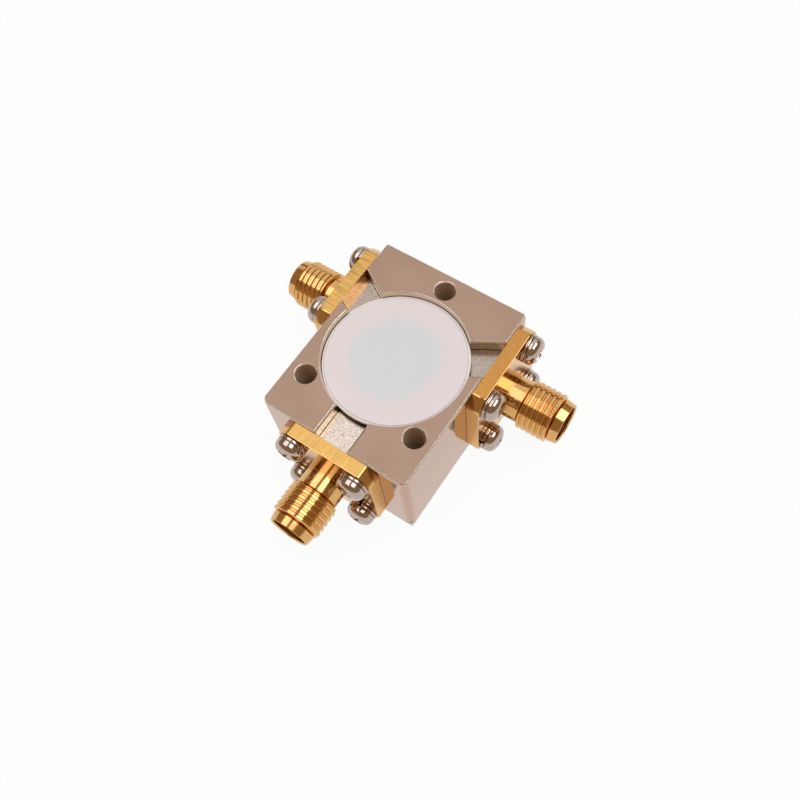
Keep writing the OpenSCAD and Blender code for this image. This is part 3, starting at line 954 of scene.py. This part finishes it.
def floor_material(studio):
    """Matt white card. To the camera and in mirrors part of its white is even, so that it stays white
    and still takes the object's shadow."""
    material, tree, shader = new_material("white_card")
    feed(tree, shader, {"Base Color": rgba(linear("#F4F4F4")), "Roughness": 0.9, "Specular IOR Level": 0})
    path = add_node(tree, "LightPath").node.outputs
    seen = add_node(tree, "Math", {
        0: path["Is Camera Ray"], 1: path["Is Glossy Ray"]}, operation="MAXIMUM")
    seen = add_node(tree, "Math", {0: seen, 1: path["Is Transmission Ray"]}, operation="MAXIMUM")
    # Under the block the card is dark, so the through holes don't shine
    half = span("housing") / 2
    place = add_node(tree, "TexCoord", out="Object")
    aside = add_node(tree, "VectorMath", {0: place}, operation="ABSOLUTE")
    aside = add_node(tree, "SeparateXYZ", {0: aside}).node.outputs
    past_side = add_node(tree, "Math", {0: aside["X"], 1: half.x}, operation="GREATER_THAN")
    past_end = add_node(tree, "Math", {0: aside["Y"], 1: half.y}, operation="GREATER_THAN")
    clear = add_node(tree, "Math", {0: past_side, 1: past_end}, operation="MAXIMUM")
    share = studio.floor_glow
    for part in (seen, clear):
        share = add_node(tree, "Math", {0: part, 1: share}, operation="MULTIPLY")
    white = add_node(tree, "Emission", {"Color": WHITE})
    mix = add_node(tree, "MixShader", {0: share, 1: shader.outputs[0], 2: white})
    feed(tree, tree.nodes["Material Output"], {"Surface": mix})
    return material


def room_material(studio):
    """Dim warm walls, evenly lit, which give the polished metal its dark stripes."""
    material, tree, _ = new_material("warm_wall")
    glow = add_node(tree, "Emission", {"Color": rgba(studio.room)})
    feed(tree, tree.nodes["Material Output"], {"Surface": glow})
    return material


class CIRCULATOR_OT_studio(bpy.types.Operator):
    """Sets the floor, the walls, the lamps and the camera"""

    bl_idname = "circulator.studio"
    bl_label = "Set studio"

    def execute(self, context):
        studio = context.scene.circulator_studio
        self.set_floor(studio)
        self.set_walls(studio)
        self.set_world(context.scene)
        self.add_lamp("key_lamp", *KEY_LAMP, studio.key_level, studio.lamp)
        self.add_lamp("fill_lamp", *FILL_LAMP, studio.fill_level, studio.lamp)
        self.set_camera(context.scene, studio)
        context.scene.view_settings.view_transform = "Standard"
        return {"FINISHED"}

    def set_floor(self, studio):
        bpy.ops.mesh.primitive_plane_add(size=FLOOR_SIDE)
        floor = named("floor_card")
        floor.data.materials.append(floor_material(studio))

    def set_walls(self, studio):
        # Half a ball round the set, open at the rear where daylight comes in, and all round its foot
        bpy.ops.mesh.primitive_uv_sphere_add(segments=48, ring_count=24, radius=WALLS_R)
        walls = named("studio_walls")
        bpy.ops.object.mode_set(mode="EDIT")
        bpy.ops.mesh.select_all(action="SELECT")
        bpy.ops.mesh.bisect(plane_co=(0, 0, 1 * MM), plane_no=(0, 0, 1), clear_inner=True)
        bpy.ops.mesh.select_all(action="SELECT")
        pick_faces(walls, lambda face: self.is_open(face.calc_center_median().normalized()))
        bpy.ops.mesh.delete(type="FACE")
        bpy.ops.object.mode_set(mode="OBJECT")
        walls.data.materials.append(room_material(studio))
        walls.visible_camera = False

    def is_open(self, way):
        return way.dot(WINDOW_WAY) > WINDOW_COSINE or way.z < math.sin(FOOT_ANGLE)

    def set_world(self, scene):
        world = bpy.data.worlds.new("white_surround")
        world.use_nodes = True
        scene.world = world
        feed(world.node_tree, world.node_tree.nodes["Background"], {"Color": WHITE, "Strength": 1})

    def add_lamp(self, name, place, size, level, colour):
        data = bpy.data.lights.new(name, "AREA")
        data.shape = "RECTANGLE"
        data.color = colour
        data.size, data.size_y = size
        data.energy = level * math.pi * size[0] * size[1]
        lamp = bpy.data.objects.new(name, data)
        bpy.context.scene.collection.objects.link(lamp)
        lamp.location = place
        lamp.visible_camera = False

    def set_camera(self, scene, studio):
        az, el, roll = studio.azimuth, studio.elevation, studio.roll
        back = Vector((math.sin(az) * math.cos(el), -math.cos(az) * math.cos(el), math.sin(el)))
        right = Vector((math.cos(az), math.sin(az), 0))
        up = back.cross(right)
        turned_right = right * math.cos(roll) + up * math.sin(roll)
        turned_up = up * math.cos(roll) - right * math.sin(roll)
        data = bpy.data.cameras.new("camera")
        data.sensor_width = SENSOR_W
        data.lens = studio.lens
        data.clip_start, data.clip_end = 1 * MM, CLIP_END
        camera = bpy.data.objects.new("camera", data)
        scene.collection.objects.link(camera)
        axes = Matrix((turned_right, turned_up, back)).transposed().to_4x4()
        camera.matrix_world = Matrix.Translation(Vector(studio.aim) + back * studio.distance) @ axes
        scene.camera = camera


class CIRCULATOR_PT_panel(bpy.types.Panel):
    """Lists the steps in the order in which they run"""

    bl_idname = "CIRCULATOR_PT_panel"
    bl_label = "Circulator"
    bl_space_type = "VIEW_3D"
    bl_region_type = "UI"
    bl_category = "Circulator"

    def draw(self, context):
        for operator in OPERATORS:
            self.layout.operator(operator.bl_idname)
        for group in GROUPS:
            box = self.layout.box()
            box.label(text=group.__doc__)
            for name in group.__annotations__:
                box.prop(getattr(context.scene, GROUPS[group]), name)


GROUPS = {
    JackSizes: "circulator_jack",
    FastenerSizes: "circulator_fasteners",
    FinishColours: "circulator_colours",
    StudioSettings: "circulator_studio",
}
OPERATORS = (
    CIRCULATOR_OT_block,
    CIRCULATOR_OT_lid,
    CIRCULATOR_OT_channel_blocks,
    CIRCULATOR_OT_junction,
    CIRCULATOR_OT_jacks,
    CIRCULATOR_OT_contacts,
    CIRCULATOR_OT_washers,
    CIRCULATOR_OT_screws,
    CIRCULATOR_OT_studio,
)


def register():
    for group, name in GROUPS.items():
        bpy.utils.register_class(group)
        setattr(bpy.types.Scene, name, bpy.props.PointerProperty(type=group))
    for item in (*OPERATORS, CIRCULATOR_PT_panel):
        bpy.utils.register_class(item)


def unregister():
    for item in (CIRCULATOR_PT_panel, *reversed(OPERATORS)):
        bpy.utils.unregister_class(item)
    for group, name in GROUPS.items():
        delattr(bpy.types.Scene, name)
        bpy.utils.unregister_class(group)


def main():
    """Runs every step in order."""
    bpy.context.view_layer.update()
    register()
    for operator in OPERATORS:
        group, name = operator.bl_idname.split(".")
        getattr(getattr(bpy.ops, group), name)()


if __name__ == "__main__":
    main()
